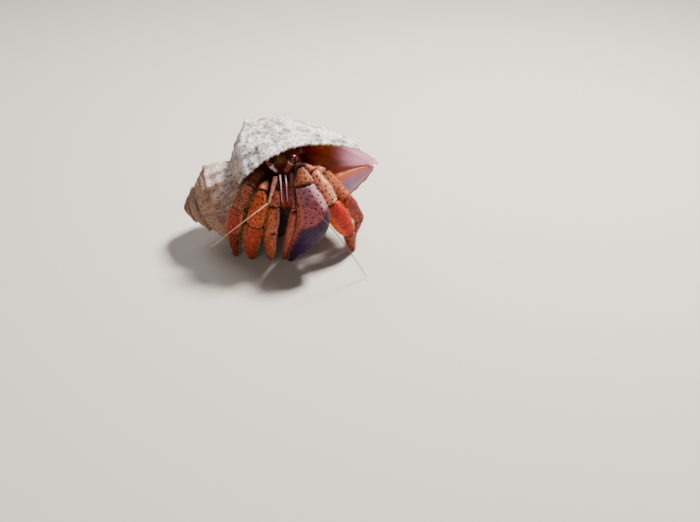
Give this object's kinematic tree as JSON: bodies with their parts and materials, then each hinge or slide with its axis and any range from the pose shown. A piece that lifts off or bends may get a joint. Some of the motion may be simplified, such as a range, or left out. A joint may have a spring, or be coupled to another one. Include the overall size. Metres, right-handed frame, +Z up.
{
  "type": "land hermit crab",
  "caption": "Life-size land hermit crab standing on the floor and looking out of a worn, knobbed sea-snail shell, with one large claw and one small claw; a still display model",
  "frame": {"origin": "middle of the model's bounding box, on the floor", "axes": "+Z up, the crab faces -Y, the crab's own right side and the shell's spire are towards -X"},
  "size_m": [0.0494, 0.0376, 0.0328],
  "materials": {
    "snail_shell": "chalky, worn, fine pits, matt",
    "orange_armour": "hard cuticle, satin, dark red dots",
    "purple_armour": "hard cuticle, satin, dark dots, violet lower edge",
    "tan_armour": "hard cuticle, satin",
    "rose_armour": "hard cuticle, satin",
    "feeler": "ringed, satin",
    "soft_skin": "soft moist skin, folded",
    "cornea": "glossy, faceted"
  },
  "bodies": {
    "root": {"abdomen_front": "soft_skin", "abdomen_middle": "soft_skin", "abdomen_rear": "soft_skin", "antenna_base_left": "rose_armour", "antenna_base_right": "rose_armour", "antenna_left": "feeler", "antenna_right": "feeler", "antennule_left": "feeler", "antennule_right": "feeler", "carapace": "tan_armour", "claw_left_carpus": "purple_armour", "claw_left_dactyl": "purple_armour", "claw_left_merus": "purple_armour", "claw_left_palm": "purple_armour", "claw_right_carpus": "orange_armour", "claw_right_dactyl": "orange_armour", "claw_right_merus": "orange_armour", "claw_right_palm": "orange_armour", "eye_left": "cornea", "eye_right": "cornea", "eyestalk_left": "tan_armour", "eyestalk_right": "tan_armour", "leg2_left_carpus": "orange_armour", "leg2_left_dactyl": "orange_armour", "leg2_left_merus": "orange_armour", "leg2_left_propodus": "orange_armour", "leg2_right_carpus": "orange_armour", "leg2_right_dactyl": "orange_armour", "leg2_right_merus": "orange_armour", "leg2_right_propodus": "orange_armour", "leg3_left_carpus": "orange_armour", "leg3_left_dactyl": "orange_armour", "leg3_left_merus": "orange_armour", "leg3_left_propodus": "orange_armour", "leg3_right_carpus": "orange_armour", "leg3_right_dactyl": "orange_armour", "leg3_right_merus": "orange_armour", "leg3_right_propodus": "orange_armour", "leg4_left": "tan_armour", "leg4_right": "tan_armour", "leg5_left": "tan_armour", "leg5_right": "tan_armour", "maxilliped_left": "rose_armour", "maxilliped_right": "rose_armour", "shell": "snail_shell", "tail_fan": "tan_armour"}
  },
  "joints": []
}
